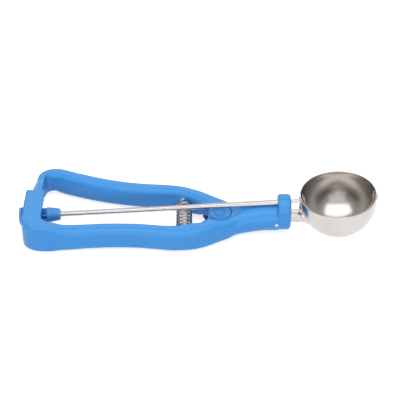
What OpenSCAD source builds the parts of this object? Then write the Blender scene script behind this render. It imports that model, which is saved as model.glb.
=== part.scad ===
// Squeeze-handle ice cream scoop. The origin is on the lever's pivot axis, in the plane that the scoop
// rests on. +X runs to the bowl, +Y to the lever side, +Z up. All sizes are in millimetres.

/* [Bowl] */
// Outside diameter of the bowl
bowl_d = 57; // [48:1:66]
// Thickness of the bowl's sheet
bowl_wall = 0.9; // [0.7:0.1:1.3]
// Height of the straight lip above the hemisphere
bowl_lip = 4.6; // [3:0.1:7]
// Distance from the pivot to the middle of the bowl
bowl_reach = 88; // [82:0.5:110]

/* [Sweep blade] */
// Width of the blade
blade_w = 9.6; // [8:0.2:16]
// Thickness of the blade's strip
blade_t = 0.8; // [0.5:0.1:1]
// Gap between the blade and the inside of the bowl
blade_gap = 0.5; // [0.35:0.05:0.7]
// Angle of the resting blade below the rim plane
blade_rest = 6; // [4:1:12]
// Angle that a full squeeze turns the blade through
sweep_range = 166; // [120:1:168]

/* [Drive rod] */
// Diameter of the rod
rod_d = 4; // [3.4:0.1:5]
// Diameter of the slimmer journal that runs into the bowl
journal_d = 3; // [2.4:0.1:3.2]
// Height of the rod's axis above the rest plane, at the middle of the bowl
rod_height = 28.5; // [27:0.5:30]
// Angle at which the rod rises towards the bowl
rod_rise = 4; // [2.5:0.1:4.5]
// Radial gap of every part that turns in a bore
running_gap = 0.05; // [0.02:0.01:0.1]

/* [Gear] */
// Size of the teeth, as pitch diameter over tooth count
gear_module = 1; // [0.9:0.05:1.1]
// Number of teeth on the pinion
pinion_teeth = 9; // [8:1:10]
// Pressure angle of the teeth
pressure_angle = 25; // [20:1:28]
// Play between the teeth, measured along the pitch line
tooth_play = 0.3; // [0.2:0.05:0.4]
// Length of the toothed part of the pinion
pinion_len = 14.2; // [12:0.2:16]
// Length of the cone in front of the pinion
cone_len = 9.2; // [6:0.2:14]
// Diameter of the cone's wide end
cone_d = 11.6; // [10:0.2:13]
// Diameter of the cone's narrow end
cone_tip_d = 8.6; // [7:0.2:10]

/* [Grips] */
// Width of a grip, seen from above
grip_w = 11.6; // [10:0.2:13]
// Height of a grip
grip_h = 18.4; // [16:0.2:20]
// Height of a grip's underside above the rest plane
grip_lift = 1.2; // [0.8:0.1:2.5]
// Corner radius of a grip's section
grip_round = 4.6; // [3:0.1:5.4]

/* [Tail] */
// Distance from the pivot to the outside of the tail wall
tail_reach = 147.2; // [140:0.2:170]
// Thickness of the tail wall
tail_wall = 3; // [2.6:0.1:5]
// Thickness of the box's floor
tail_floor = 2.4; // [1.6:0.2:3]
// Thickness of the box's cover
tail_cover = 1.4; // [1.2:0.1:2]
// Width of the lever's tongue
tongue_w = 5.6; // [5:0.2:8]
// Thickness of the tongue's plate above its rack teeth
plate_t = 2; // [1.6:0.1:3]
// Gap around the sliding tongue
slide_gap = 0.4; // [0.3:0.05:0.5]
// Height of the tongue beside the pinion
tongue_h = 9.6; // [7:0.2:12]
// Diameter of the cap on the rod's tail end
cap_d = 13.4; // [10:0.2:15]
// Thickness of that cap
cap_t = 1.9; // [1.6:0.1:3]
// Gap between that cap and the tail wall
cap_gap = 0.9; // [0.6:0.1:1.5]

/* [Neck and pivot] */
// Radius of the lever's knuckle
knuckle_r = 8.7; // [8:0.1:9.5]
// Gap between the knuckle and its socket
socket_gap = 0.4; // [0.3:0.05:0.6]
// Height of the socket's floor
socket_floor = 5; // [4:0.1:6]
// Height of the knuckle's top face
knuckle_top = 16.4; // [14:0.1:17]
// Diameter of the pivot pin
pivot_d = 6; // [4:0.2:7]
// Diameter of the pivot pin's head
pivot_head_d = 8.6; // [8:0.1:10]
// Thickness of the thrust washer under the knuckle
washer_t = 0.5; // [0.3:0.1:0.8]
// Diameter of the neck
neck_d = 20.8; // [19:0.2:22]
// Gap between the collar and the bowl
bowl_gap = 6.5; // [5:0.1:9]
// Length of the collar along the scoop
collar_len = 9.8; // [8:0.2:14]
// Height of the collar
collar_h = 28.4; // [27:0.2:31]

/* [Shank] */
// Width of the folded shank
shank_w = 8; // [6:0.2:9]
// Height of the folded shank
shank_h = 7; // [5:0.2:8]
// Thickness of the shank's sheet
shank_t = 1.3; // [1:0.1:1.6]
// Height of the shank's underside
shank_z = 9.6; // [8:0.2:11]
// Length of the tang inside the neck
tang_len = 22; // [16:1:26]
// Diameter of the cross pin
cross_pin_d = 2.6; // [2:0.2:3.2]
// Radius of the saddle that is welded to the bowl
saddle_r = 7.6; // [6:0.2:9]

/* [Return spring] */
// Outside diameter of the coil
spring_d = 12.4; // [11:0.2:13]
// Diameter of the wire
wire_d = 1.6; // [1:0.1:1.8]
// Number of turns
spring_turns = 8; // [6:0.5:9]
// Distance of the spring from the pivot
spring_x = 26.8; // [24:0.2:28]
// Height of the spring's axis
spring_z = 10.6; // [9:0.2:12]
// Length of the pegs inside the coil
peg_len = 5; // [3:0.5:7]

/* [Hidden] */

plastic_blue = [0.31, 0.61, 0.90];
gear_blue = [0.28, 0.55, 0.86];
bright_steel = [0.84, 0.83, 0.81];
spring_steel = [0.55, 0.54, 0.53];
bush_white = [0.90, 0.90, 0.88];

fine = 96;
medium = 48;
ring_count = 20;
path_steps = 3;

// Bowl and blade
bowl_r = bowl_d / 2;
bowl_in = bowl_r - bowl_wall;
blade_out = bowl_in - blade_gap;
blade_in = blade_out - blade_t;
journal_r = journal_d / 2;
eyelet_r = journal_r + running_gap + 1;
ear_dish = 0.2;
collar_t = 1.4;
rivet_head = 0.5;
eyelet_lip = 0.8;

// Collar, set back from the bowl
collar_end = bowl_reach - bowl_r - bowl_gap;
collar_x = collar_end - collar_len;

// Drive rod: the distance along its axis from the middle of the bowl, and its height
function along_rod(x) = (x - bowl_reach) / cos(rod_rise);
function rod_z(x) = rod_height + (x - bowl_reach) * tan(rod_rise);
rod_under = rod_d / 2 / cos(rod_rise);

// Tail box and tongue, as radii about the pivot and heights
wall_in = tail_reach - tail_wall;
tongue_out = wall_in - slide_gap;
tongue_in = tongue_out - tongue_w;
block_y = 19.6;
block_len = 22.2;
tail_depth = 14.6;
near_round = [15.2, 11];
inner_round = 7;
grip_outer = 28.1;
grip_inner = 18.2;
block_end = block_len - tail_reach;
wall_mid = 4;
wall_bow = 4 * tail_reach;
drawn_reach = 147.2;

// Pinion and rack
pitch_r = pinion_teeth * gear_module / 2;
tip_r = pitch_r + gear_module;
root_r = pitch_r - 1.2 * gear_module;
base_r = pitch_r * cos(pressure_angle);
pinion_gap = 1;
thrust_gap = 0.1;
pinion_start = along_rod(pinion_gap - wall_in);
pinion_end = pinion_start + pinion_len;
mesh_radius = (tongue_out + tongue_in) / 2 + pitch_r * sin(rod_rise);
gear_ratio = mesh_radius / pitch_r;
lever_range = sweep_range / gear_ratio;
rack_step = 360 / (2 * gear_ratio * pitch_r / gear_module);
rack_addendum = 0.8 * gear_module;
rack_root = pitch_r + 1.35 * gear_module;
rack_plate_z = rod_z(-tongue_in) + rack_root / cos(rod_rise);
tongue_top = rack_plate_z + plate_t;
tongue_bottom = tongue_top - tongue_h;
tail_h = tongue_top + slide_gap + tail_cover;
travel = mesh_radius * lever_range * PI / 180;
tongue_lead = gear_module * PI * 1.4;
rack_count = ceil((travel + tongue_lead) / (gear_module * PI)) + 1;
plate_root = tip_r + travel + 1.2;
tongue_root = 40;
pocket_y = -tongue_lead - travel - 1.4;
pocket_lap = 8;

// Pivot, with the pin pressed into a blind hole in the floor
socket_r = knuckle_r + socket_gap;
floor_margin = 0.7;
dish_rise = 0.2;
dish_spread = 2;
mouth_line = [[-8, -9.1], [-15, -7], [-20, 4], [-20, 40]];
pin_foot = 1.6;
pin_seat = knuckle_top + 0.15;
head_h = 1.3;

// Bushes in the tail and in the collar
tail_bush_wall = 1.6;
collar_bush_wall = 1.4;
bush_inset = 0.7;
bush_lip = 0.3;
function bush_r(wall) = rod_d / 2 + running_gap + wall;

// Shank in the neck
tang_start = collar_x - tang_len;
cross_pin_x = collar_x - 0.9;
cross_pin_z = shank_z + shank_h / 2 - 1.4;

// Return spring between its two seats
wire_r = wire_d / 2;
spring_r = spring_d / 2 - wire_r;
seat_near = -17.2;
seat_far = 16.2;
seat_r = spring_d / 2 + 0.4;
seat_depth = 4;
boss_r = spring_d / 2 - 0.3;
peg_r = spring_r - wire_r - 0.4;
peg_taper = 0.8;

// ---- shapes shared by several pieces ----

// A closed outline of a rounded rectangle, centred, as points [across, up]
function ring(w, h, r, n = ring_count) = let (
    rr = min(r, w / 2 - 0.01, h / 2 - 0.01),
    quarter = n / 4
) [
    for (q = [0:3], k = [0:quarter - 1]) let (
        a = q * 90 + k * 90 / (quarter - 1),
        sx = (q == 0 || q == 3) ? 1 : -1,
        sy = (q < 2) ? 1 : -1
    ) [sx * (w / 2 - rr) + rr * cos(a), sy * (h / 2 - rr) + rr * sin(a)]
];

// Points along an arc about a centre
function arc(c, r, from, to, n = 8) = [
    for (k = [0:n]) let (a = from + (to - from) * k / n) [c[0] + r * cos(a), c[1] + r * sin(a)]
];

// One point of a smooth curve through four neighbours
function smooth(a, b, c, d, t) = 0.5 * (
    2 * b + (c - a) * t + (2 * a - 5 * b + 4 * c - d) * t * t + (3 * b - a - 3 * c + d) * t * t * t
);

// A smooth curve through stations of any number of values
function curve(stations, steps = path_steps) = let (last = len(stations) - 1) [
    for (i = [0:last - 1], k = [0:steps - 1]) smooth(
        stations[max(i - 1, 0)], stations[i], stations[i + 1], stations[min(i + 2, last)], k / steps
    ),
    stations[last]
];

// Direction of a path at one of its points, seen from above
function ahead(path, i) = let (
    a = path[max(i - 1, 0)],
    b = path[min(i + 1, len(path) - 1)],
    d = [b[0] - a[0], b[1] - a[1]]
) d / norm(d);

// A skin over outlines of equal length, closed at both ends
module skin(rings) {
    n = len(rings[0]);
    last = len(rings) - 1;
    sides = [
        for (i = [0:last - 1], k = [0:n - 1], half = [0, 1]) let (
            a = i * n + k,
            b = i * n + (k + 1) % n
        ) half == 0 ? [a, b, b + n] : [a, b + n, a + n]
    ];
    caps = [[for (k = [n - 1:-1:0]) k], [for (k = [0:n - 1]) last * n + k]];
    polyhedron([for (r = rings) each r], concat(sides, caps), convexity = 6);
}

// A station moved along with the tail, from nothing at the neck to the whole way at the tail
function moved(s) = let (share = max(0, min(1, (-s[0] - 30) / 80)))
    concat([s[0] - share * (tail_reach - drawn_reach)], [for (k = [1:len(s) - 1]) s[k]]);

// A bar that follows stations [x, y, width, underside, top, corner radius]
module bar(stations) {
    path = curve([for (s = stations) moved(s)]);
    skin([
        for (i = [0:len(path) - 1]) let (
            p = path[i],
            t = ahead(path, i),
            side = [t[1], -t[0]]
        ) [
            for (q = ring(p[2], p[4] - p[3], p[5]))
                [p[0] + side[0] * q[0], p[1] + side[1] * q[0], (p[3] + p[4]) / 2 + q[1]]
        ]
    ]);
}

// Places its children on the rod's axis, with x along the rod from the middle of the bowl
module on_rod() {
    translate([bowl_reach, 0, rod_height]) rotate([0, -rod_rise, 0]) children();
}

// A round bar along x between two distances
module along(from, to, r, r2 = -1, fn = medium) {
    translate([from, 0, 0]) rotate([0, 90, 0])
        cylinder(h = to - from, r1 = r, r2 = r2 < 0 ? r : r2, $fn = fn);
}

// A round bar along y between two distances
module across(from, to, r, fn = medium) {
    translate([0, from, 0]) rotate([-90, 0, 0]) cylinder(h = to - from, r = r, $fn = fn);
}

// A band about the pivot at the tail, between two radii, two heights and two distances across
module tail_band(r_in, r_out, z_low, z_high, y_low, y_high) {
    a_low = 180 - asin(y_high / r_out);
    a_high = 180 - asin(y_low / r_out);
    rotate([0, 0, a_low]) rotate_extrude(angle = a_high - a_low, $fn = 360)
        translate([r_in, z_low]) square([r_out - r_in, z_high - z_low]);
}

// ---- fixed handle ----

// Neck, fixed grip and tail corner, from the collar round to the cover of the tail box
neck_top = rod_under + 0.6;
grip_top = grip_lift + grip_h;
frame_line = [
    [collar_x + 1, 0, neck_d, 1.8, rod_z(collar_x) - neck_top, neck_d / 2 - 0.5],
    [collar_x - 13, 0, neck_d, 1.2, rod_z(collar_x - 13) - neck_top, neck_d / 2 - 0.5],
    [collar_x - 25, -0.7, neck_d + 1.6, 0.7, rod_z(collar_x - 25) - neck_top - 0.4, 9],
    [8, -2.5, neck_d + 2.4, 0.4, knuckle_top + 2.4, 8],
    [-1, -8.2, neck_d + 1.4, 0.2, knuckle_top + 1.8, 6.4],
    [-11.5, -17.7, grip_w + 3.4, 0.4, grip_top - 0.4, 5.4],
    [-21, -21.6, grip_w + 2.2, 0.8, grip_top, grip_round],
    [-34, -23.9, grip_w + 0.8, grip_lift, grip_top, grip_round],
    [-46, -22.9, grip_w, grip_lift, grip_top, grip_round],
    [-62, -21.1, grip_w, grip_lift, grip_top, grip_round],
    [-82, -20.8, grip_w, grip_lift, grip_top, grip_round],
    [-98, -21.8, grip_w, grip_lift, grip_top, grip_round],
    [-108, -22.6, grip_w, 0.9, grip_top + 0.2, grip_round],
    [-116, -23.2, grip_w - 0.8, 0.6, tail_h - 1.9, 4.2],
    [-122, -23.3, grip_w - 1.4, 0.3, tail_h - 0.6, 3],
    [-126, -23.3, grip_w - 1.6, 0.2, tail_h - 0.1, 2],
    [-131, -23, grip_w - 2.6, 1.4, tail_h - 0.8, 1.6],
];

// Collar at the neck's end, with rounded edges
module collar_body() {
    edge = 2.4;
    low = 2.2;
    front = [for (k = [4:-1:0]) let (a = k * 22.5) [collar_len - edge * (1 - cos(a)), edge * (1 - sin(a))]];
    skin([
        for (p = concat([[0, 1.2], [1, 0.2], [edge, 0]], front)) [
            for (q = ring(neck_d - 2 * p[1], collar_h - 2 * p[1], neck_d / 2 - p[1]))
                [collar_x + p[0], -q[0], low + collar_h / 2 + q[1]]
        ]
    ]);
}

// Outline of the tail box seen from above, drawn in by an inset: a slightly bowed outer wall, a round
// near corner and a round inner corner
function tail_outline(inset) = let (
    wall_from = 180 - asin((block_y - wall_mid) / wall_bow),
    wall_to = 180 + asin((grip_outer - near_round[1] + wall_mid) / wall_bow),
    wall = arc([wall_bow - tail_reach, wall_mid], wall_bow - inset, wall_from, wall_to),
    near = [wall[8][0] + inset + near_round[0], near_round[1] - grip_outer],
    inner_x = tail_depth - tail_reach
) concat(
    wall,
    [
        for (k = [1:8]) let (a = 180 + k * 90 / 8)
            near + [(near_round[0] - inset) * cos(a), (near_round[1] - inset) * sin(a)]
    ],
    [[block_end, inset - grip_outer], [block_end, -grip_inner - inset]],
    arc([inner_x + inner_round, inner_round - grip_inner], inner_round + inset, 270, 180),
    [[inner_x - inset, block_y - inset]]
);

module tail_block() {
    low = 1.8;
    high = 1;
    steps = [
        [high, tail_h], [0.3 * high, tail_h - 0.3 * high], [0, tail_h - high],
        [0, low], [low / 3, low / 3], [low, 0]
    ];
    skin([for (s = steps) [for (q = tail_outline(s[0])) [q[0], q[1], s[1]]]]);
}

// Round seat for the spring, at a distance y and facing along it: its boss, the room above it and its peg
module seat_at(y, dir) {
    translate([-spring_x, y, spring_z]) rotate([-90 * dir, 0, 0]) children();
}

module seat_boss() {
    translate([0, 0, -seat_depth]) cylinder(h = seat_depth, r = boss_r, $fn = medium);
}

module seat_room() {
    cylinder(h = 2 * peg_len, r = seat_r, $fn = medium);
}

module seat_peg() {
    translate([0, 0, -1]) cylinder(h = peg_len + 1, r1 = peg_r, r2 = peg_r - peg_taper, $fn = medium);
}

// Round socket for the knuckle, open on the lever's side, with a shallow dish around its mouth
module socket() {
    rise = grip_h;
    foot = socket_r + dish_rise;
    translate([0, 0, knuckle_top + dish_rise])
        cylinder(h = rise, r1 = foot, r2 = foot + rise * dish_spread, $fn = fine);
    translate([0, 0, socket_floor]) {
        cylinder(h = 2 * grip_h, r = socket_r, $fn = fine);
        linear_extrude(2 * grip_h)
            polygon(concat([[0, -socket_r]], mouth_line, [[socket_r, mouth_line[3][1]], [socket_r, 0]]));
    }
}

// Room for the tongue under the cover, open to the lever's side and to the pinion
module tongue_pocket() {
    tail_band(tongue_in - pocket_lap, wall_in, tail_floor, tail_h - tail_cover, pocket_y, block_y + 2);
}

module frame_handle() {
    color(plastic_blue) {
        handle_body();
        seat_at(seat_near, 1) seat_peg();
    }
}

module handle_body() {
    difference() {
        union() {
            bar(frame_line);
            collar_body();
            cylinder(h = socket_floor, r = socket_r + floor_margin, $fn = fine);
            tail_block();
            seat_at(seat_near, 1) seat_boss();
        }
        socket();
        seat_at(seat_near, 1) seat_room();
        tongue_pocket();
        on_rod() along(along_rod(-tail_reach) - 4, along_rod(-wall_in) + 4, bush_r(tail_bush_wall));
        on_rod() along(along_rod(collar_x) - 3, along_rod(collar_end) + 3, bush_r(collar_bush_wall));
        translate([tang_start, -shank_w / 2, shank_z]) cube([collar_end - tang_start + 1, shank_w, shank_h]);
        translate([cross_pin_x, 0, cross_pin_z]) across(-neck_d, neck_d, cross_pin_d / 2);
        translate([0, 0, pin_foot]) cylinder(h = tail_h, r = pivot_d / 2, $fn = medium);
    }
}

// ---- lever ----

// Lever grip, from the knuckle round to the tongue
lever_line = [
    [4.6, 4.4, 10, socket_floor + 1.4, knuckle_top, 3],
    [1.8, 7, 16.6, socket_floor + 0.7, knuckle_top + 0.6, 4.4],
    [-7.4, 12.6, 14.8, socket_floor + 0.6, knuckle_top + 1.8, grip_round],
    [-12.5, 15.8, 13.6, 3.2, grip_top - 0.6, grip_round],
    [-18, 18.9, grip_w + 1, 1.6, grip_top, grip_round],
    [-30, 24.4, grip_w, grip_lift, grip_top, grip_round],
    [-44, 26.5, grip_w, grip_lift, grip_top, grip_round],
    [-58, 27.6, grip_w, grip_lift, grip_top, grip_round],
    [-74, 30.1, grip_w, grip_lift, grip_top, grip_round],
    [-90, 34, grip_w + 0.4, grip_lift, grip_top, grip_round],
    [-106, 39.2, grip_w + 0.7, grip_lift, grip_top, grip_round],
    [-117, 43.4, grip_w + 0.8, grip_lift, grip_top, grip_round],
    [-122.6, 45.9, grip_w + 0.5, grip_lift, grip_top, grip_round],
    [-127.6, 47, grip_w + 0.2, 2.2, grip_top, grip_round],
    [-132.9, 45.5, grip_w - 2, 2.4, grip_top + 0.4, 3.8],
    [-136.3, 41.6, tongue_w + 1.8, 2.6, tongue_top + 0.1, 2.4],
    [-137.1, 37.8, tongue_w + 1.1, 2.8, tongue_top + 0.3, 1.8],
    [-137.4, 34.4, tongue_w + 0.9, 3, tongue_top + 0.4, 1.2],
];

// Tongue curved about the pivot, with a plate that runs over the pinion
module tongue() {
    high = 180 + asin(tongue_lead / tongue_out);
    low = 180 - asin(tongue_root / tongue_out);
    intersection() {
        linear_extrude(tail_h) polygon(concat(
            arc([0, 0], tongue_out, high, low, 10),
            arc([0, 0], tongue_in, low, high, 10)
        ));
        translate([-tail_reach, 0, 0]) rotate([90, 0, 90]) linear_extrude(2 * tail_depth) polygon([
            [-tail_reach, rack_plate_z], [plate_root, rack_plate_z], [plate_root, tongue_bottom],
            [tongue_root + 2, tongue_bottom], [tongue_root + 2, tongue_top], [-tail_reach, tongue_top]
        ]);
    }
}

// Rack teeth under the tongue's plate, each turned about the pivot to lie along the rod
module rack_teeth() {
    half = (gear_module * PI - tooth_play) / 4;
    lean = tan(pressure_angle);
    up = rack_root - pitch_r + 1;
    inset = 0.3;
    for (k = [-1:rack_count - 2]) rotate([0, 0, -k * rack_step]) on_rod()
        translate([along_rod(inset - tongue_out), 0, pitch_r]) rotate([90, 0, 90])
            linear_extrude(tongue_w - 2 * inset) polygon([
                [-half - up * lean, up], [-half + rack_addendum * lean, -rack_addendum],
                [half - rack_addendum * lean, -rack_addendum], [half + up * lean, up]
            ]);
}

module lever_handle() {
    color(plastic_blue) {
        lever_body();
        seat_at(seat_far, -1) seat_peg();
    }
}

module lever_body() {
    foot = socket_floor + washer_t + 0.1;
    difference() {
        union() {
            bar(lever_line);
            translate([0, 0, foot]) cylinder(h = knuckle_top - foot, r = knuckle_r, $fn = fine);
            tongue();
            rack_teeth();
            seat_at(seat_far, -1) seat_boss();
        }
        seat_at(seat_far, -1) seat_room();
        cylinder(h = tail_h, r = pivot_d / 2 + running_gap, $fn = medium);
        translate([0, 0, knuckle_top]) cylinder(h = tail_h, r = pivot_head_d / 2 + 0.4, $fn = medium);
    }
}

// ---- pivot ----

module pivot_pin() {
    r = pivot_d / 2;
    head_r = pivot_head_d / 2;
    color(plastic_blue) rotate_extrude($fn = medium) polygon([
        [0, pin_foot], [r, pin_foot], [r, pin_seat], [head_r, pin_seat],
        [head_r, pin_seat + head_h * 0.6], [head_r - 0.6, pin_seat + head_h], [0, pin_seat + head_h]
    ]);
}

module pivot_washer() {
    color(bush_white) translate([0, 0, socket_floor]) difference() {
        cylinder(h = washer_t, r = knuckle_r - 1.2, $fn = medium);
        translate([0, 0, -1]) cylinder(h = washer_t + 2, r = pivot_d / 2, $fn = medium);
    }
}

// ---- return spring ----

module return_spring() {
    low = seat_near + wire_r;
    high = seat_far - wire_r;
    steps = 14;
    sides = 6;
    count = spring_turns * steps;
    color(spring_steel) translate([-spring_x, 0, spring_z]) skin([
        for (i = [0:count]) let (a = i * 360 / steps, y = low + (high - low) * i / count) [
            for (k = [0:sides - 1]) let (b = -k * 360 / sides, r = spring_r + wire_r * cos(b))
                [r * sin(a), y + wire_r * sin(b), r * cos(a)]
        ]
    ]);
}

// ---- rod and gear ----

module drive_rod() {
    color(bright_steel) on_rod() {
        along(along_rod(-tail_reach) - cap_gap, along_rod(collar_end), rod_d / 2);
        along(along_rod(collar_end) - 0.1, -blade_in + collar_t, journal_r);
    }
}

// Flank of an involute tooth at roll angle t, in degrees
function involute(t) = base_r * [cos(t) + t * PI / 180 * sin(t), sin(t) - t * PI / 180 * cos(t)];
function roll_to(r) = sqrt(max(0, pow(r / base_r, 2) - 1)) * 180 / PI;

module pinion_outline() {
    points = 5;
    half_pitch = 90 / pinion_teeth - tooth_play * 90 / (PI * pitch_r * 2);
    at_pitch = let (p = involute(roll_to(pitch_r))) atan2(p[1], p[0]);
    circle(r = root_r, $fn = medium);
    for (k = [0:pinion_teeth - 1]) rotate([0, 0, 90 + (k + 0.5) * 360 / pinion_teeth]) {
        flank = [
            for (i = [0:points]) let (p = involute(roll_to(tip_r) * i / points), a = -half_pitch - at_pitch)
                [p[0] * cos(a) - p[1] * sin(a), p[0] * sin(a) + p[1] * cos(a)]
        ];
        polygon(concat([[0, 0]], flank, [for (i = [points:-1:0]) [flank[i][0], -flank[i][1]]]));
    }
}

module pinion() {
    color(gear_blue) on_rod() difference() {
        union() {
            translate([pinion_start, 0, 0]) rotate([90, 0, 90]) linear_extrude(pinion_len) pinion_outline();
            along(pinion_end, pinion_end + cone_len, cone_d / 2, cone_tip_d / 2);
        }
        along(pinion_start - 1, pinion_end + cone_len + 1, rod_d / 2);
    }
}

// A ring around the rod between two distances
module rod_ring(from, to, r, bore) {
    on_rod() difference() {
        along(from, to, r);
        along(from - 1, to + 1, bore);
    }
}

module pinion_washer() {
    start = pinion_start - pinion_gap + bush_lip;
    color(bush_white) rod_ring(start + thrust_gap, pinion_start - thrust_gap, root_r - 0.1, rod_d / 2);
}

module rod_end_cap() {
    start = along_rod(-tail_reach) - cap_gap - cap_t;
    color(plastic_blue) on_rod() along(start, start + cap_t, cap_d / 2);
}

module tail_bush() {
    color(bush_white) rod_ring(
        along_rod(-tail_reach) + bush_inset, along_rod(-wall_in) + bush_lip,
        bush_r(tail_bush_wall), rod_d / 2 + running_gap
    );
}

module collar_bush() {
    color(bush_white) rod_ring(
        along_rod(collar_x) + bush_inset, along_rod(collar_end) - bush_lip,
        bush_r(collar_bush_wall), rod_d / 2 + running_gap
    );
}

// ---- shank and bowl ----

// Folded channel, open underneath, from inside the neck to the saddle
module shank() {
    long = bowl_reach - tang_start;
    color(bright_steel) difference() {
        translate([tang_start, -shank_w / 2, shank_z]) cube([long, shank_w, shank_h]);
        translate([tang_start - 1, shank_t - shank_w / 2, shank_z - shank_t])
            cube([long + 2, shank_w - 2 * shank_t, shank_h]);
        translate([bowl_reach, 0, rod_height]) sphere(r = bowl_r + shank_t, $fn = fine);
        translate([cross_pin_x, 0, cross_pin_z]) across(-neck_d, neck_d, cross_pin_d / 2);
    }
}

// Round dished plate that is welded to the shank and to the bowl
module bowl_saddle() {
    color(bright_steel) difference() {
        intersection() {
            translate([bowl_reach, 0, rod_height]) sphere(r = bowl_r + shank_t, $fn = fine);
            translate([0, 0, shank_z + shank_h / 2 + 1]) along(0, bowl_reach - bowl_r / 2, saddle_r);
        }
        translate([bowl_reach, 0, rod_height]) sphere(r = bowl_r, $fn = fine);
    }
}

module shank_cross_pin() {
    reach = neck_d / 2 + 0.2;
    color(bright_steel) translate([cross_pin_x, 0, cross_pin_z]) across(-reach, reach, cross_pin_d / 2);
}

module bowl() {
    color(bright_steel) on_rod() difference() {
        union() {
            intersection() {
                sphere(r = bowl_r, $fn = fine);
                translate([0, 0, -bowl_r]) cylinder(h = bowl_r, r = bowl_d, $fn = fine);
            }
            cylinder(h = bowl_lip, r = bowl_r, $fn = fine);
        }
        sphere(r = bowl_in, $fn = fine);
        cylinder(h = bowl_lip + 1, r = bowl_in, $fn = fine);
        along(-bowl_d, 0, eyelet_r);
        along(0, bowl_d, journal_r);
    }
}

// Eyelet in the bowl's near wall that carries the journal, with its collar outside
module bowl_eyelet() {
    color(bright_steel) on_rod() difference() {
        union() {
            along(-bowl_r - eyelet_lip, -bowl_in, eyelet_r);
            along(-bowl_r - eyelet_lip - 0.1, -bowl_r - 0.1, eyelet_r + 1);
        }
        along(-bowl_d, 0, journal_r + running_gap);
    }
}

// Half ring that lies against the inside of the bowl, with a round ear at each end
module sweep_blade() {
    color(bright_steel) on_rod() difference() {
        intersection() {
            sphere(r = blade_out, $fn = fine);
            union() {
                rotate([blade_rest, 0, 0]) translate([-bowl_d, -bowl_d, -blade_w / 2])
                    cube([2 * bowl_d, bowl_d, blade_w]);
                along(-bowl_d, bowl_d, blade_w / 2);
            }
        }
        sphere(r = blade_in, $fn = fine);
        along(-bowl_d, 0, journal_r);
        along(0, bowl_d, journal_r + running_gap);
    }
}

// Collar swaged onto the journal's end, which holds the blade's near ear
module blade_collar() {
    color(bright_steel) rod_ring(-blade_in + ear_dish, -blade_in + collar_t, journal_r + 1.3, journal_r);
}

// Rivet through the bowl's far wall that the blade's far ear turns on
module blade_rivet() {
    color(bright_steel) on_rod() {
        along(blade_in - collar_t, blade_in - ear_dish, journal_r + 0.5, journal_r + 1.2);
        along(blade_in - collar_t, bowl_r + 0.1, journal_r);
        along(bowl_r, bowl_r + rivet_head, journal_r + 1.4, journal_r + 0.9);
    }
}

module blade_washer() {
    color(bush_white) rod_ring(blade_out + running_gap, bowl_in - ear_dish, journal_r + 1, journal_r);
}

frame_handle();
lever_handle();
pivot_pin();
pivot_washer();
return_spring();
drive_rod();
pinion();
pinion_washer();
rod_end_cap();
tail_bush();
collar_bush();
shank();
shank_cross_pin();
bowl_saddle();
bowl();
bowl_eyelet();
sweep_blade();
blade_collar();
blade_rivet();
blade_washer();
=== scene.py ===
"""A squeeze-handle ice cream scoop, dressed on its CAD frame.

Lengths are written in millimetres, on the frame's own axes: +X to the bowl, +Y to the lever, +Z up.
"""
import math

import bmesh
import bpy
from mathutils import Matrix, Vector


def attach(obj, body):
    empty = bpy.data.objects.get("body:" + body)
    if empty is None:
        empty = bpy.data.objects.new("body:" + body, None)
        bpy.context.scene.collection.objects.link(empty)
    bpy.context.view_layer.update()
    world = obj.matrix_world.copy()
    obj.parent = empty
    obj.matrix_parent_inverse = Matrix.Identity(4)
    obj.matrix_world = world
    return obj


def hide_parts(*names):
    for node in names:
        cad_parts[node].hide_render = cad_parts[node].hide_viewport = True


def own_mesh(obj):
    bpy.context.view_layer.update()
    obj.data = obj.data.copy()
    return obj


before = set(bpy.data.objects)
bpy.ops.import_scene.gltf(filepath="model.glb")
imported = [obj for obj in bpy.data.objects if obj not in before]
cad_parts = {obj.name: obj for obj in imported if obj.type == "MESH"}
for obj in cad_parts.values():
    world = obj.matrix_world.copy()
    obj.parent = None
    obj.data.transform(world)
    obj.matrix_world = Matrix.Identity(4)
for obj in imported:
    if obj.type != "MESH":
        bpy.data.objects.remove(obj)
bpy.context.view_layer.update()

MM = 0.001


# ---- studio ----
# A white sweep of paper under a large soft lamp, in a plain grey room. The paper shows as white and
# still takes the soft shadow that the scoop lays on it.

def new_material(name):
    material = bpy.data.materials.new(name)
    material.use_nodes = True
    tree = material.node_tree
    tree.nodes.clear()
    return material, tree


def coat(obj, material):
    """Gives a piece its one material."""
    obj.data.materials.clear()
    obj.data.materials.append(material)


def place_lamp(name, size, spot, aim, watts):
    bpy.ops.object.light_add(type="AREA", location=[MM * v for v in spot])
    lamp = bpy.context.object
    lamp.name = name
    lamp.data.shape = "RECTANGLE"
    lamp.data.size, lamp.data.size_y = MM * size[0], MM * size[1]
    lamp.data.energy = watts
    toward = Vector(aim) - Vector(spot)
    lamp.rotation_euler = toward.to_track_quat("-Z", "Y").to_euler()


bpy.context.scene.view_settings.view_transform = "Standard"

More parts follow.
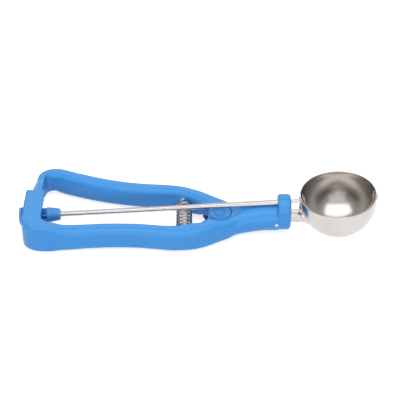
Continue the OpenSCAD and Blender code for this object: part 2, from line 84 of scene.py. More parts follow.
# The room is dark at the floor and lighter overhead
room_floor, room_above, room_above_from = (0.11, 0.105, 0.10), (0.46, 0.45, 0.44), 0.75
world = bpy.data.worlds.new("grey_room")
bpy.context.scene.world = world
world.use_nodes = True
room = world.node_tree
room.nodes.clear()
room_out = room.nodes.new("ShaderNodeOutputWorld")
room_light = room.nodes.new("ShaderNodeBackground")
room_place = room.nodes.new("ShaderNodeTexCoord")
room_height = room.nodes.new("ShaderNodeSeparateXYZ")
room_shade = room.nodes.new("ShaderNodeValToRGB")
room_steps = room_shade.color_ramp.elements
room_steps[0].position, room_steps[0].color = 0.0, (*room_floor, 1)
room_steps[1].position, room_steps[1].color = room_above_from, (*room_above, 1)
room.links.new(room_place.outputs["Generated"], room_height.inputs[0])
room.links.new(room_height.outputs["Z"], room_shade.inputs[0])
room.links.new(room_shade.outputs[0], room_light.inputs["Color"])
room.links.new(room_light.outputs[0], room_out.inputs[0])

scoop_middle = (0, 0, 10)
place_lamp("soft_box", size=(1400, 720), spot=(-20, -245, 860), aim=(-20, -245, 0), watts=4.8)
place_lamp("low_panel", size=(1700, 380), spot=(-60, -1150, 250), aim=scoop_middle, watts=4.4)
place_lamp("near_wall", size=(1300, 600), spot=(0, -1080, 760), aim=scoop_middle, watts=1.2)
place_lamp("back_panel", size=(1200, 600), spot=(60, 1000, 680), aim=scoop_middle, watts=2.7)

# The paper glows only where it is looked at, straight or by way of a reflection, and so lights nothing
paper_side, paper_tone, paper_strength = 6400, (0.60, 0.60, 0.60), 0.75
bpy.ops.mesh.primitive_plane_add(size=MM * paper_side, location=(0, 0, 0))
paper = bpy.context.object
paper.name = "paper"
bpy.ops.object.transform_apply()
paper_white, tree = new_material("paper_white")
paper_out = tree.nodes.new("ShaderNodeOutputMaterial")
paper_sum = tree.nodes.new("ShaderNodeAddShader")
paper_matt = tree.nodes.new("ShaderNodeBsdfDiffuse")
paper_matt.inputs["Color"].default_value = (*paper_tone, 1)
paper_glow = tree.nodes.new("ShaderNodeEmission")
paper_rays = tree.nodes.new("ShaderNodeLightPath")
seen_by = paper_rays.outputs["Is Camera Ray"]
for kind in ("Is Glossy Ray", "Is Transmission Ray"):
    either = tree.nodes.new("ShaderNodeMath")
    either.operation = "MAXIMUM"
    tree.links.new(seen_by, either.inputs[0])
    tree.links.new(paper_rays.outputs[kind], either.inputs[1])
    seen_by = either.outputs[0]
paper_level = tree.nodes.new("ShaderNodeMath")
paper_level.operation = "MULTIPLY"
paper_level.inputs[1].default_value = paper_strength
tree.links.new(seen_by, paper_level.inputs[0])
tree.links.new(paper_level.outputs[0], paper_glow.inputs["Strength"])
tree.links.new(paper_matt.outputs[0], paper_sum.inputs[0])
tree.links.new(paper_glow.outputs[0], paper_sum.inputs[1])
tree.links.new(paper_sum.outputs[0], paper_out.inputs[0])
coat(paper, paper_white)


# ---- camera ----
# Looks at the scoop from the near side and from above, and stands about a metre away. The shift sets
# the scoop a little off the middle of the picture.

distance = 900
elevation = math.radians(38.83)
looked_at = Vector((-15.4, 0, 12))
bpy.ops.object.camera_add(
    location=MM * (looked_at + distance * Vector((0, -math.cos(elevation), math.sin(elevation)))),
    rotation=(math.pi / 2 - elevation, 0, 0),
)
camera = bpy.context.object
camera.data.sensor_width = 36
camera.data.lens = 107.6
camera.data.shift_x = 0.00175
camera.data.shift_y = 0.0405
camera.data.clip_start = MM * 50
camera.data.clip_end = MM * 10000
bpy.context.scene.camera = camera


# ---- fixed handle ----
# The near grip with its neck, collar and tail box, which carries the pivot, the spring and the rod. It is
# one moulding in light blue polypropylene, with soft, well rounded edges.

def group_of(name, inputs, outputs):
    """A shader node group with named sockets, and its input and output nodes."""
    group = bpy.data.node_groups.new(name, "ShaderNodeTree")
    for label, kind, value in inputs:
        socket = group.interface.new_socket(label, in_out="INPUT", socket_type=kind)
        socket.default_value = value
    for label, kind in outputs:
        group.interface.new_socket(label, in_out="OUTPUT", socket_type=kind)
    return group, group.nodes.new("NodeGroupInput"), group.nodes.new("NodeGroupOutput")


# Slow clouding of a surface, from 0 to 1, with a scale in features per metre
cloud, cloud_in, cloud_out = group_of(
    "surface_cloud",
    [
        ("Scale", "NodeSocketFloat", 60.0),
        ("Detail", "NodeSocketFloat", 3.0),
        ("Stretch", "NodeSocketVector", (1, 1, 1)),
    ],
    [("Cloud", "NodeSocketFloat")],
)
cloud_place = cloud.nodes.new("ShaderNodeTexCoord")
cloud_stretch = cloud.nodes.new("ShaderNodeVectorMath")
cloud_stretch.operation = "MULTIPLY"
cloud_noise = cloud.nodes.new("ShaderNodeTexNoise")
cloud.links.new(cloud_place.outputs["Object"], cloud_stretch.inputs[0])
cloud.links.new(cloud_in.outputs["Stretch"], cloud_stretch.inputs[1])
cloud.links.new(cloud_stretch.outputs[0], cloud_noise.inputs["Vector"])
cloud.links.new(cloud_in.outputs["Scale"], cloud_noise.inputs["Scale"])
cloud.links.new(cloud_in.outputs["Detail"], cloud_noise.inputs["Detail"])
cloud.links.new(cloud_noise.outputs[0], cloud_out.inputs["Cloud"])

# Painted edge highlight: 1 on sharp outward edges, fading to 0 on flat and hollow places
edge_highlight, edge_highlight_in, edge_highlight_out = group_of(
    "painted_edge_highlight",
    [("From", "NodeSocketFloat", 0.52), ("To", "NodeSocketFloat", 0.62)],
    [("Highlight", "NodeSocketFloat")],
)
edge_highlight_shape = edge_highlight.nodes.new("ShaderNodeNewGeometry")
edge_highlight_range = edge_highlight.nodes.new("ShaderNodeMapRange")
edge_highlight.links.new(edge_highlight_shape.outputs["Pointiness"], edge_highlight_range.inputs["Value"])
edge_highlight.links.new(edge_highlight_in.outputs["From"], edge_highlight_range.inputs["From Min"])
edge_highlight.links.new(edge_highlight_in.outputs["To"], edge_highlight_range.inputs["From Max"])
edge_highlight.links.new(edge_highlight_range.outputs[0], edge_highlight_out.inputs["Highlight"])


def add_group(tree, group, **values):
    """Places a node group in a material, with its own values."""
    node = tree.nodes.new("ShaderNodeGroup")
    node.node_tree = group
    for label, value in values.items():
        node.inputs[label].default_value = value
    return node


def mix_colours(tree, factor, dark, light):
    """Mixes two colours, each given as red, green and blue or as another node's output."""
    mix = tree.nodes.new("ShaderNodeMix")
    mix.data_type = "RGBA"
    for socket, value in (("A", dark), ("B", light)):
        target = [s for s in mix.inputs if s.name == socket and s.type == "RGBA"][0]
        if isinstance(value, bpy.types.NodeSocket):
            tree.links.new(value, target)
        else:
            target.default_value = (*value, 1)
    tree.links.new(factor, mix.inputs[0])
    return [s for s in mix.outputs if s.type == "RGBA"][0]


def map_range(tree, value, low, high):
    node = tree.nodes.new("ShaderNodeMapRange")
    node.inputs["To Min"].default_value = low
    node.inputs["To Max"].default_value = high
    tree.links.new(value, node.inputs["Value"])
    return node.outputs[0]


def roughen(tree, skin, pattern, strength, height):
    """Presses a pattern into a surface, to a height in mm."""
    bump = tree.nodes.new("ShaderNodeBump")
    bump.inputs["Strength"].default_value = strength
    bump.inputs["Distance"].default_value = MM * height
    tree.links.new(pattern, bump.inputs["Height"])
    tree.links.new(bump.outputs[0], skin.inputs["Normal"])


def moulded_plastic(name, colour, pale, gloss, grain):
    """Moulded plastic: clouded colour, a painted highlight that makes sharp outward edges paler, uneven
    gloss and a fine spark-eroded grain.
    """
    darker, lighter, edge_highlight_most, grain_height = 0.93, 1.06, 0.35, 0.04
    shinier, duller = 0.05, 0.09
    material, tree = new_material(name)
    out = tree.nodes.new("ShaderNodeOutputMaterial")
    skin = tree.nodes.new("ShaderNodeBsdfPrincipled")
    slow = add_group(tree, cloud, Scale=45.0, Detail=4.0)
    fine = add_group(tree, cloud, Scale=2600.0, Detail=2.0)
    edge_lit = add_group(tree, edge_highlight)
    shade = mix_colours(
        tree, slow.outputs[0], [darker * c for c in colour], [min(1, lighter * c) for c in colour]
    )
    # Sharp outward edges are mixed towards the pale colour, as a painted highlight
    weak = map_range(tree, edge_lit.outputs[0], 0, edge_highlight_most)
    tree.links.new(mix_colours(tree, weak, shade, pale), skin.inputs["Base Color"])
    dulled = map_range(tree, slow.outputs[0], gloss - shinier, gloss + duller)
    tree.links.new(dulled, skin.inputs["Roughness"])
    roughen(tree, skin, fine.outputs[0], grain, grain_height)
    tree.links.new(skin.outputs[0], out.inputs[0])
    return material


handle_blue = moulded_plastic(
    "handle_blue", colour=(0.042, 0.330, 0.83), pale=(0.20, 0.52, 0.93), gloss=0.31, grain=0.35
)


def select_only(*objects):
    bpy.ops.object.select_all(action="DESELECT")
    for obj in objects:
        obj.select_set(True)
    bpy.context.view_layer.objects.active = objects[0]


def finish_with(obj, kind, **settings):
    """Adds a modifier, sets it and applies it."""
    select_only(obj)
    modifier = obj.modifiers.new(kind.lower(), kind)
    for key, value in settings.items():
        setattr(modifier, key, value)
    bpy.ops.object.modifier_apply(modifier=modifier.name)


def draw_out(name, rings):
    """A bar drawn out of a filled ring: the end face is extruded to each next ring of places in mm."""
    bpy.ops.object.select_all(action="DESELECT")
    bpy.ops.mesh.primitive_circle_add(vertices=len(rings[0]), fill_type="NGON", enter_editmode=True)
    obj = bpy.context.object
    obj.name = name
    mesh = bmesh.from_edit_mesh(obj.data)
    mesh.faces.ensure_lookup_table()
    end = list(mesh.faces[0].verts)
    for vert, place in zip(end, rings[0]):
        vert.co = MM * Vector(place)
    for ring in rings[1:]:
        before = [vert.co.copy() for vert in end]
        bpy.ops.mesh.extrude_region_move()
        mesh = bmesh.from_edit_mesh(obj.data)
        moved = [vert for vert in mesh.verts if vert.select]
        end = [min(moved, key=lambda vert, at=at: (vert.co - at).length_squared) for at in before]
        for vert, place in zip(end, ring):
            vert.co = MM * Vector(place)
    bmesh.update_edit_mesh(obj.data)
    bpy.ops.mesh.select_all(action="SELECT")
    bpy.ops.mesh.normals_make_consistent(inside=False)
    bpy.ops.object.mode_set(mode="OBJECT")
    return obj


def plate(name, outline, low, high):
    """A flat plate, from its outline seen from above."""
    return draw_out(name, [[(x, y, z) for x, y in outline] for z in (low, high)])


def arc(middle, radius, start, stop, steps, deep=None):
    """Places along an arc between two angles in degrees. An oval one has a second radius, deep."""
    deep = radius if deep is None else deep
    angles = [math.radians(start + (stop - start) * k / steps) for k in range(steps + 1)]
    return [(middle[0] + radius * math.cos(a), middle[1] + deep * math.sin(a)) for a in angles]


def rounded_ring(width, height, radius, corner_steps=7):
    """A rounded rectangle about the middle, as (across, up)."""
    least_flat = 0.02
    radius = min(radius, width / 2 - least_flat, height / 2 - least_flat)
    ring = []
    for corner, (side, top) in enumerate(((1, 1), (-1, 1), (-1, -1), (1, -1))):
        middle = (side * (width / 2 - radius), top * (height / 2 - radius))
        ring += arc(middle, radius, 90 * corner, 90 * corner + 90, corner_steps)
    return ring


def smooth_line(stations, steps):
    """A smooth curve through stations of several values, each weighed with its neighbours."""
    line = []
    last = len(stations) - 1
    for i in range(last):
        a, b, c, d = (stations[max(0, min(last, i + k))] for k in (-1, 0, 1, 2))
        for step in range(steps):
            t = step / steps
            line.append([
                0.5 * (2 * q + (r - p) * t + (2 * p - 5 * q + 4 * r - s) * t * t
                       + (3 * q - p - 3 * r + s) * t ** 3)
                for p, q, r, s in zip(a, b, c, d)
            ])
    return line + [list(stations[last])]


def grip_bar(name, stations):
    """A bar along stations (x, y, width, underside, top, corner radius)."""
    line = smooth_line(stations, steps=6)
    rings = []
    for i, (x, y, width, low, high, radius) in enumerate(line):
        before, after = line[max(i - 1, 0)], line[min(i + 1, len(line) - 1)]
        ahead = Vector((after[0] - before[0], after[1] - before[1])).normalized()
        rings.append([
            (x + ahead.y * across, y - ahead.x * across, (low + high) / 2 + up)
            for across, up in rounded_ring(width, high - low, radius)
        ])
    return draw_out(name, rings)


round_sides = 96


def drum(name, radius, low, high):
    """A plain upright drum about the pivot's axis, used as a core or as a cutter."""
    bpy.ops.object.select_all(action="DESELECT")
    bpy.ops.mesh.primitive_cylinder_add(
        vertices=round_sides, radius=MM * radius, depth=MM * (high - low),
        location=(0, 0, MM * (low + high) / 2),
    )
    obj = bpy.context.object
    obj.name = name
    bpy.ops.object.transform_apply()
    return obj


def along_y(obj, y, x, z):
    """Lays an upright drum along Y, with its foot at a place."""
    obj.data.transform(Matrix.Translation(MM * Vector((x, y, z))) @ Matrix.Rotation(-math.pi / 2, 4, "X"))
    return obj


def along_x(obj):
    """Lays an upright drum along X."""
    obj.data.transform(Matrix.Rotation(math.pi / 2, 4, "Y"))
    return obj


# The rod rises to the bowl, and its axis runs through the bowl's middle
rod_r = 2
rod_rise = math.radians(4)
bowl_middle = Vector((88, 0, 28.5))
rod_frame = Matrix.Translation(MM * bowl_middle) @ Matrix.Rotation(-rod_rise, 4, "Y")


def along_rod(x):
    """How far a place at x lies along the rod, from the bowl's middle."""
    return (x - bowl_middle.x) / math.cos(rod_rise)


def rod_z(x):
    """The height of the rod's axis at x."""
    return bowl_middle.z + (x - bowl_middle.x) * math.tan(rod_rise)


def on_rod(obj):
    """Carries a piece made about the X axis onto the rod's own axis."""
    obj.data.transform(rod_frame)
    return obj


def melt_together(body, others):
    """Joins overlapping shells into one skin with soft inner corners, as a moulding has."""
    skin_grain, skin_rounds = 0.5, 8
    select_only(body, *others)
    bpy.ops.object.join()
    finish_with(body, "REMESH", mode="VOXEL", voxel_size=MM * skin_grain, use_smooth_shade=True)
    finish_with(body, "SMOOTH", factor=0.5, iterations=skin_rounds)


def cut_with(body, *cutters):
    for cutter in cutters:
        finish_with(body, "BOOLEAN", operation="DIFFERENCE", solver="EXACT", object=cutter)
        bpy.data.objects.remove(cutter)


def soften(obj, angle=38):
    """Shades a piece smooth, apart from edges sharper than an angle in degrees."""
    select_only(obj)
    bpy.ops.object.shade_smooth_by_angle(angle=math.radians(angle))


# Grip and neck, from the collar to the tail. The neck's top stays under the rod
grip_w, grip_low, grip_top, grip_round, tail_h = 11.6, 1.2, 19.6, 4.6, 22.35
collar_x, collar_len, neck_d = 43.2, 9.8, 20.8
neck_round = neck_d / 2 - 0.5
neck_drop = rod_r / math.cos(rod_rise) + 0.6
knuckle_r, knuckle_top, socket_floor = 8.7, 16.4, 5.0
handle = grip_bar("fixed_handle", [
    (collar_x + 1, 0, neck_d, 1.8, rod_z(collar_x) - neck_drop, neck_round),
    (collar_x - 13, 0, neck_d, 1.2, rod_z(collar_x - 13) - neck_drop, neck_round),
    (collar_x - 25, -0.7, neck_d + 1.6, 0.7, rod_z(collar_x - 25) - neck_drop - 0.4, 9),
    (8, -2.5, neck_d + 2.4, 0.4, knuckle_top + 2.4, 8),
    (-1, -8.2, neck_d + 1.4, 0.2, knuckle_top + 1.8, 6.4),
    (-11.2, -18.4, grip_w + 1.6, 0.4, grip_top - 0.4, 5.4),
    (-21, -21.6, grip_w + 2.2, 0.8, grip_top, grip_round),
    (-34, -23.9, grip_w + 0.8, grip_low, grip_top, grip_round),
    (-46, -22.9, grip_w, grip_low, grip_top, grip_round),
    (-62, -21.1, grip_w, grip_low, grip_top, grip_round),
    (-82, -20.8, grip_w, grip_low, grip_top, grip_round),
    (-98, -21.8, grip_w, grip_low, grip_top, grip_round),
    (-108, -22.6, grip_w, 0.9, grip_top + 0.2, grip_round),
    (-116, -23.2, grip_w - 0.8, 0.6, tail_h - 1.9, 4.2),
    (-122, -23.3, grip_w - 1.4, 0.3, tail_h - 0.6, 3),
    (-126, -23.3, grip_w - 1.6, 0.2, tail_h - 0.1, 2),
    (-131, -23, grip_w - 2.6, 1.4, tail_h - 0.8, 1.6),
])

# Collar: a taller rounded block at the neck's end, as steps along (place, inset)
collar_h, collar_low, collar_round = 28.4, 2.2, 2.4
collar_steps = [(0, 1.2), (0.3, 0.5), (1, 0.1), (collar_round, 0)] + arc(
    (collar_len - collar_round, collar_round), collar_round, 90, 0, 6, deep=-collar_round
)
collar = draw_out("collar", [
    [
        (collar_x + x, -across, collar_low + collar_h / 2 + up)
        for across, up in rounded_ring(
            neck_d - 2 * inset, collar_h - 2 * inset, neck_d / 2 - inset, corner_steps=11
        )
    ]
    for x, inset in collar_steps
])

# Tail box: a slightly bowed outer wall, a wide round near corner and a tighter inner one
tail_reach, tail_depth, tail_far = 147.2, 14.6, 19.6
tail_near, tail_inner, tail_end = -28.1, -18.2, -125.0
corner_wide, corner_deep, corner_inner = 15.2, 11, 7
bow, bow_middle = 4 * tail_reach, 4
wall_start = 180 - math.degrees(math.asin((tail_far - bow_middle) / bow))
wall_stop = 180 + math.degrees(math.asin((bow_middle - tail_near - corner_deep) / bow))


def tail_outline(inset, height):
    """The tail box seen from above, drawn in by an inset."""
    outline = arc((bow - tail_reach, bow_middle), bow - inset, wall_start, wall_stop, 12)
    near_middle = (outline[-1][0] + inset + corner_wide, tail_near + corner_deep)
    outline += arc(near_middle, corner_wide - inset, 180, 270, 12, deep=corner_deep - inset)[1:]
    outline += [(tail_end, tail_near + inset), (tail_end, tail_inner - inset)]
    inner_middle = (tail_depth - tail_reach + corner_inner, tail_inner + corner_inner)
    outline += arc(inner_middle, corner_inner + inset, 270, 180, 12)
    outline.append((tail_depth - tail_reach - inset, tail_far - inset))
    return [(x, y, height) for x, y in outline]


tail_steps = [
    (1.8, 0), (0.9, 0.24), (0.24, 0.9), (0, 1.8), (0, tail_h - 1), (0.3, tail_h - 0.3), (1, tail_h)
]
tail_box = draw_out("tail_box", [tail_outline(inset, height) for inset, height in tail_steps])

# Seat of the spring, floor under the knuckle, and the floor that runs on under the lever's arm, with a
# round edge at the crotch between arm and grip
socket_r, pad_rim = knuckle_r + 0.4, 0.7
spring_x, spring_z, seat_near, seat_far = -26.8, 10.6, -17.2, 16.2
seat_r, seat_room, boss_r, boss_len = 6.6, 10, 5.9, 4
near_boss = along_y(drum("near_boss", boss_r, -boss_len, 0), seat_near, spring_x, spring_z)
floor_pad = drum("floor_pad", socket_r + pad_rim, 0, socket_floor)
crotch, crotch_r, arm_floor_h = (-19.2, 8.7), 8, 2.4
arm_floor = plate(
    "arm_floor",
    [(2, socket_r), (0, -neck_d / 2), (crotch[0], -18)] + arc(crotch, crotch_r, -90, 40, 24) + [(-9, 16.5)],
    0, arm_floor_h,
)
melt_together(handle, [collar, tail_box, near_boss, floor_pad, arm_floor])

# Cuts: the knuckle's socket and the dish around it, the room for the spring and for the tongue, and the
# bores for the rod. What cuts through the top runs on to cut_top
cut_top = 40
socket_cut = plate("socket_cut", [
    (0, -socket_r), (-5.5, -9.4), (-11, -13), (-16, -13.8), (-20, -10), (-20, 40), (9.1, 40), (8.95, 8.2),
    (7.95, 4.43),
], socket_floor, cut_top)
dish_r, dish_low, dish_top, dish_lean = socket_r + 0.2, knuckle_top - 0.3, tail_h + 0.2, 2
wall_in, tongue_out, tongue_in = 144.2, 143.8, 138.2
pocket_low, pocket_near, pocket_far, pocket_depth, cover_t = 2.4, -18.8, 22, 8, 1.4
tail_bore_r, tail_bore_past, collar_bore_r, collar_bore_past = 3.65, 4, 3.45, 3


def tail_band(name, inner, outer, low, high, near, far):
    """A band about the pivot at the tail."""
    start = 180 - math.degrees(math.asin(far / outer))
    stop = 180 - math.degrees(math.asin(near / outer))
    inner_edge = arc((0, 0), inner, start, stop, 24)
    return plate(name, arc((0, 0), outer, start, stop, 24) + inner_edge[::-1], low, high)


dish = drum("dish", dish_r, dish_low, dish_top)
for vert in dish.data.vertices:
    if vert.co.z > MM * tail_h:
        vert.co.xy *= 1 + dish_lean * (tail_h - knuckle_top) / dish_r
cut_with(
    handle,
    dish,
    drum("socket_round", socket_r, socket_floor, cut_top),
    socket_cut,
    along_y(drum("spring_room", seat_r, 0, seat_room), seat_near, spring_x, spring_z),
    tail_band(
        "pocket", tongue_in - pocket_depth, wall_in, pocket_low, tail_h - cover_t, pocket_near, pocket_far
    ),
    on_rod(along_x(drum(
        "tail_bore", tail_bore_r,
        along_rod(-tail_reach) - tail_bore_past, along_rod(-wall_in) + tail_bore_past,
    ))),
    on_rod(along_x(drum(
        "collar_bore", collar_bore_r,
        along_rod(collar_x) - collar_bore_past, along_rod(collar_x + collar_len) + collar_bore_past,
    ))),
)
soften(handle)
coat(handle, handle_blue)
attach(handle, "handle")
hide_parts("frame_handle")


# ---- squeeze lever ----
# The sprung grip, moulded in the same blue as the handle. Its knuckle turns on the pin, and its far end
# turns down into the tail box as a tongue with a rack underneath, which drives the pinion on the rod.

knuckle_low, pin_bore_r, head_room_r = 5.6, 3.05, 4.7
lever = grip_bar("squeeze_lever", [
    (4.6, 4.4, 10, socket_floor + 1.4, knuckle_top, 3),
    (1.8, 7, 16.6, socket_floor + 0.7, knuckle_top + 0.6, 4.4),
    (-7.4, 12.6, 14.8, socket_floor + 0.6, knuckle_top + 1.8, grip_round),
    (-12.5, 15.8, 13.6, 3.2, grip_top - 0.6, grip_round),
    (-18, 18.9, grip_w + 1, 1.6, grip_top, grip_round),
    (-30, 24.4, grip_w, grip_low, grip_top, grip_round),
    (-44, 26.5, grip_w, grip_low, grip_top, grip_round),
    (-58, 27.6, grip_w, grip_low, grip_top, grip_round),
    (-74, 30.1, grip_w, grip_low, grip_top, grip_round),
    (-90, 34, grip_w + 0.4, grip_low, grip_top, grip_round),
    (-106, 39.2, grip_w + 0.7, grip_low, grip_top, grip_round),
    (-117, 43.4, grip_w + 0.8, grip_low, grip_top, grip_round),
    (-122.6, 45.9, grip_w + 0.5, grip_low, grip_top, grip_round),
    (-127.6, 47, grip_w + 0.2, 2.2, grip_top, grip_round),
    (-132.9, 45.5, grip_w - 2, 2.4, grip_top + 0.4, 3.8),
    (-136.3, 41.6, 7.2, 2.6, 20.65, 2.8),
    (-137.5, 37.8, 6.0, 2.8, 20.85, 2.4),
    (-138.0, 34.4, 5.2, 3, 20.95, 1.8),
])
near_face = along_y(drum("lever_boss", boss_r, 0, boss_len), seat_far, spring_x, spring_z)
knuckle = drum("knuckle", knuckle_r, knuckle_low, knuckle_top)
melt_together(lever, [near_face, knuckle])
cut_with(
    lever,
    along_y(drum("lever_spring_room", seat_r, -seat_room, 0), seat_far, spring_x, spring_z),
    drum("pin_bore", pin_bore_r, 0, cut_top),
    drum("head_room", head_room_r, knuckle_top, cut_top),
)
soften(lever)

# Tongue: a curved plate, with a web that runs down into the lever's end
tongue_low, tongue_top, plate_low, tongue_near, tongue_root = 10.95, 20.55, 18.547, -4.4, 40
web_near, web_proud = 19.7, 0.9
tongue = tail_band("lever_tongue", tongue_in, tongue_out, plate_low, tongue_top, tongue_near, tongue_root)
web_in = tongue_in - web_proud
tongue_parts = [tail_band("tongue_web", web_in, tongue_out, tongue_low, tongue_top, web_near, tongue_root)]

# Rack: teeth along the rod's slope, set about the pivot and counted from the one over the rod at rest
tooth_pitch, tooth_play, pitch_r, rack_depth, rack_r, rack_count = math.pi, 0.3, 4.5, 5.85, 141.314, 7
pressure_angle, tooth_tip, tooth_sunk, rack_inset, tooth_len = 25, 0.8, 1, 0.3, 5
tooth_lean = math.tan(math.radians(pressure_angle))
tooth_start = along_rod(rack_inset - tongue_out)
half, root = (tooth_pitch - tooth_play) / 4, rack_depth - pitch_r + tooth_sunk
tooth_face = [
    (-half - root * tooth_lean, root), (-half + tooth_tip * tooth_lean, -tooth_tip),
    (half - tooth_tip * tooth_lean, -tooth_tip), (half + root * tooth_lean, root),
]
for k in range(-1, rack_count - 1):
    tooth = on_rod(draw_out("rack_tooth", [
        [(x, across, pitch_r + up) for across, up in tooth_face]
        for x in (tooth_start, tooth_start + tooth_len)
    ]))
    tooth.data.transform(Matrix.Rotation(-k * tooth_pitch / rack_r, 4, "Z"))
    tongue_parts.append(tooth)
for part in tongue_parts:
    finish_with(tongue, "BOOLEAN", operation="UNION", solver="EXACT", object=part)
    bpy.data.objects.remove(part)

# Between the tail box and the lever the root's inner face is flat
root_face, root_near, root_cut, root_cut_len, root_cut_top = 11.6 - tail_reach, tail_far + 2, 12, 30, 30
tongue_edge = 0.12
cut_with(tongue, plate("root_face", [
    (root_face, root_near), (root_face + root_cut, root_near),
    (root_face + root_cut, root_near + root_cut_len), (root_face, root_near + root_cut_len),
], 0, root_cut_top))
finish_with(tongue, "BEVEL", width=tongue_edge * MM, segments=2, limit_method="ANGLE")
soften(tongue, angle=30)
for piece in (lever, tongue):
    coat(piece, handle_blue)
    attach(piece, "lever")
    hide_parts("lever_handle")


# ---- pivot ----
# A blue moulded pin with a low domed head, dished in the middle. It is pressed into the handle's floor,
# through the knuckle and a white washer.

def turned(name, profile, sides=round_sides, lay=False):
    """A turned piece: a ring drawn out along (radius, height) places about Z, or about X when laid."""
    obj = draw_out(name, [[(x, y, z) for x, y in arc((0, 0), r, 0, 360, sides)[:-1]] for r, z in profile])
    if lay:
        along_x(obj)
    return obj


pin = turned("pivot_head", [
    (3, 1.6), (3, 16.55), (4.1, 16.55), (4.3, 16.7), (4.3, 17.2), (4.1, 17.5), (3.5, 17.72), (2.9, 17.66),
    (2.6, 17.4), (1.8, 17.36), (0.9, 17.34), (0.1, 17.34),
])
soften(pin, angle=50)
coat(pin, handle_blue)
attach(pin, "handle")
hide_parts("pivot_pin")


# ---- bowl ----
# A deep drawn hemisphere of polished stainless sheet with a straight lip, open on top and tilted with the
# rod. Its rim is trimmed and rounded over, and the sheet has one thickness all over.

def polished_metal(name, colour, dark, gloss, spread, stretch, depth):
    """Bare steel: slowly clouded, with fine marks from working, which a stretch draws out each way."""
    mark_height = 0.02
    material, tree = new_material(name)
    out = tree.nodes.new("ShaderNodeOutputMaterial")
    skin = tree.nodes.new("ShaderNodeBsdfPrincipled")
    skin.inputs["Metallic"].default_value = 1
    slow = add_group(tree, cloud, Scale=70.0, Detail=3.0)
    marks = add_group(tree, cloud, Scale=1.0, Detail=2.0, Stretch=stretch)
    tree.links.new(mix_colours(tree, slow.outputs[0], dark, colour), skin.inputs["Base Color"])
    tree.links.new(map_range(tree, marks.outputs[0], gloss, gloss + spread), skin.inputs["Roughness"])
    roughen(tree, skin, marks.outputs[0], depth, mark_height)
    tree.links.new(skin.outputs[0], out.inputs[0])
    return material


bowl_polish = polished_metal(
    "bowl_polish", colour=(0.65, 0.615, 0.59), dark=(0.52, 0.49, 0.465),
    gloss=0.16, spread=0.14, stretch=(500, 500, 2600), depth=0.25,
)

# The lower half of a sphere, with the lip drawn straight up from its edge
bowl_r, bowl_wall, bowl_lip, rim_round, bowl_sides, merge_gap = 28.5, 0.9, 4.6, 0.36, 144, 0.01
bpy.ops.object.select_all(action="DESELECT")
bpy.ops.mesh.primitive_uv_sphere_add(segments=bowl_sides, ring_count=bowl_sides // 2, radius=MM * bowl_r)
bowl = bpy.context.object
bowl.name = "scoop_bowl"
bpy.ops.object.mode_set(mode="EDIT")
bpy.ops.mesh.select_all(action="SELECT")
bpy.ops.mesh.bisect(plane_co=(0, 0, 0), plane_no=(0, 0, 1), clear_outer=True)
bpy.ops.mesh.select_all(action="DESELECT")
bpy.ops.mesh.select_non_manifold()
bpy.ops.mesh.extrude_region_move(TRANSFORM_OT_translate={"value": (0, 0, MM * bowl_lip)})
bpy.ops.mesh.select_all(action="SELECT")
bpy.ops.mesh.remove_doubles(threshold=MM * merge_gap)
bpy.ops.mesh.normals_make_consistent(inside=False)
bpy.ops.object.mode_set(mode="OBJECT")
finish_with(bowl, "SOLIDIFY", thickness=MM * bowl_wall, offset=-1)
finish_with(
    bowl, "BEVEL", width=MM * rim_round, segments=4, limit_method="ANGLE", angle_limit=math.radians(50)
)
on_rod(bowl)
soften(bowl, angle=60)
coat(bowl, bowl_polish)
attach(bowl, "handle")
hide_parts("bowl")


# ---- drive rod ----
# A ground rod of bright stainless steel. It runs from the cap on the tail to the collar, and is turned
# down to a slim journal in the bowl.

bright_steel = polished_metal(
    "bright_steel", colour=(0.66, 0.63, 0.605), dark=(0.53, 0.505, 0.485),
    gloss=0.20, spread=0.14, stretch=(3000, 600, 600), depth=0.3,
)
rod_past, rod_end = 0.9, -25.9
rod_start, rod_step = along_rod(-tail_reach) - rod_past, along_rod(collar_x + collar_len)
journal_r, end_chamfer, step_chamfer, rod_sides = 1.5, 0.3, 0.2, 48
between_ends = [(rod_r, x) for x in (-180, -140, -90)]
rod = on_rod(turned(
    "rod",
    [(rod_r - end_chamfer, rod_start), (rod_r, rod_start + end_chamfer)] + between_ends
    + [(rod_r, rod_step - end_chamfer), (rod_r - step_chamfer, rod_step)]
    + [(journal_r, rod_step), (journal_r, rod_end - step_chamfer), (journal_r - step_chamfer, rod_end)],
    rod_sides, lay=True,
))
soften(rod, angle=30)
coat(rod, bright_steel)
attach(rod, "sweep")
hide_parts("drive_rod")


# ---- shank ----
# A strip of steel pressed into a channel that is open underneath, with bent edges and a round nose. It
# runs out of the neck and is welded to the saddle under the bowl.

shank_w, shank_top, shank_low, shank_t, shank_bend, shank_foot = 8, 16.6, 9.6, 1.3, 1.7, 3
tang_start, nose_x, nose_lean = collar_x - 22, 58.4, 0.62


def shank_ring(inset, height):
    """The shank seen from above, drawn in by an inset."""
    radius = shank_w / 2 - inset
    outline = arc((nose_x, 0), radius, -90, 90, 24) + [(tang_start, radius), (tang_start, -radius)]
    return [(x, y, height) for x, y in outline]


shank_steps = [(0, shank_low), (0, shank_low + shank_foot)] + arc(
    (shank_bend, shank_top - shank_bend), -shank_bend, 0, 90, 6, deep=shank_bend
)
shank = draw_out("pressed_shank", [shank_ring(inset, height) for inset, height in shank_steps])

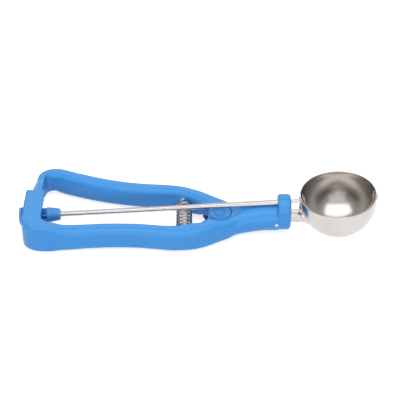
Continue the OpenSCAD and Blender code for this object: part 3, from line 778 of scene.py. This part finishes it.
# The channel is opened underneath, and its nose leans out towards the foot
bottom = min(shank.data.polygons, key=lambda face: face.center.z)
select_only(shank)
bpy.ops.object.mode_set(mode="EDIT")
bpy.ops.mesh.select_all(action="DESELECT")
bpy.ops.object.mode_set(mode="OBJECT")
bottom.select = True
bpy.ops.object.mode_set(mode="EDIT")
bpy.ops.mesh.delete(type="ONLY_FACE")
bpy.ops.object.mode_set(mode="OBJECT")
for vert in shank.data.vertices:
    if vert.co.x > MM * nose_x:
        vert.co.x += nose_lean * (MM * shank_top - vert.co.z)
finish_with(shank, "SOLIDIFY", thickness=MM * shank_t, offset=-1)
soften(shank, angle=40)
coat(shank, bright_steel)
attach(shank, "handle")
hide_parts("shank")


# ---- return spring ----
# A compression spring between the two grips, cold wound from drawn steel wire. It sits in a round seat in
# each grip. The real spring shortens as the lever closes; this one is wound at its length with the lever
# open.

spring_steel = polished_metal(
    "spring_steel", colour=(0.60, 0.57, 0.55), dark=(0.42, 0.40, 0.38),
    gloss=0.15, spread=0.10, stretch=(1500, 1500, 1500), depth=0.3,
)

# One round section of the wire, drawn along the coil, with both cut ends closed
spring_r, wire_r, turns, wire_sides, turn_steps = 5.4, 0.8, 8, 14, 32
bpy.ops.object.select_all(action="DESELECT")
bpy.ops.mesh.primitive_circle_add(vertices=wire_sides, radius=MM * wire_r, location=(0, 0, MM * spring_r))
spring = bpy.context.object
spring.name = "coil_spring"
bpy.ops.object.transform_apply()
spring.data.transform(
    Matrix.Translation((0, 0, MM * spring_r)) @ Matrix.Rotation(math.pi / 2, 4, "Y")
    @ Matrix.Translation((0, 0, -MM * spring_r))
)
spring_low, spring_high = seat_near + wire_r, seat_far - wire_r
finish_with(
    spring, "SCREW", axis="Y", angle=turns * 2 * math.pi, screw_offset=MM * (spring_high - spring_low),
    steps=turns * turn_steps, render_steps=turns * turn_steps, use_merge_vertices=False,
)
select_only(spring)
bpy.ops.object.mode_set(mode="EDIT")
bpy.ops.mesh.select_all(action="DESELECT")
bpy.ops.mesh.select_non_manifold()
bpy.ops.mesh.edge_face_add()
bpy.ops.mesh.select_all(action="SELECT")
bpy.ops.mesh.normals_make_consistent(inside=False)
bpy.ops.object.mode_set(mode="OBJECT")
spring.data.transform(Matrix.Translation(MM * Vector((spring_x, spring_low, spring_z))))
soften(spring, angle=50)
coat(spring, spring_steel)
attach(spring, "handle")
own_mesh(spring)
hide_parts("return_spring")


# ---- carried-over pieces ----
# The gear and the cap are blue mouldings, the washers and bushes are white ones, and the small fittings
# and the sweep blade are stainless steel. They keep their CAD shape and get finishes.

# The blade and its collar get a darker copy of the bright steel: painted shade, standing for the shading on
# the blade
shaded_blade_steel = polished_metal(
    "shaded_blade_steel", colour=(0.44, 0.42, 0.40), dark=(0.34, 0.32, 0.31),
    gloss=0.26, spread=0.14, stretch=(600, 600, 2400), depth=0.3,
)
gear_blue = moulded_plastic(
    "gear_blue", colour=(0.050, 0.29, 0.72), pale=(0.20, 0.50, 0.90), gloss=0.36, grain=0.3
)
bush_white = moulded_plastic(
    "bush_white", colour=(0.72, 0.72, 0.68), pale=(0.86, 0.86, 0.84), gloss=0.45, grain=0.3
)
for finish, nodes in (
    (gear_blue, ("pinion", "rod_end_cap")),
    (bush_white, ("pivot_washer", "pinion_washer", "tail_bush", "collar_bush", "blade_washer")),
    (bright_steel, ("shank_cross_pin", "bowl_saddle", "bowl_eyelet", "blade_rivet")),
    (shaded_blade_steel, ("sweep_blade", "blade_collar")),
):
    for node in nodes:
        coat(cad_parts[node], finish)
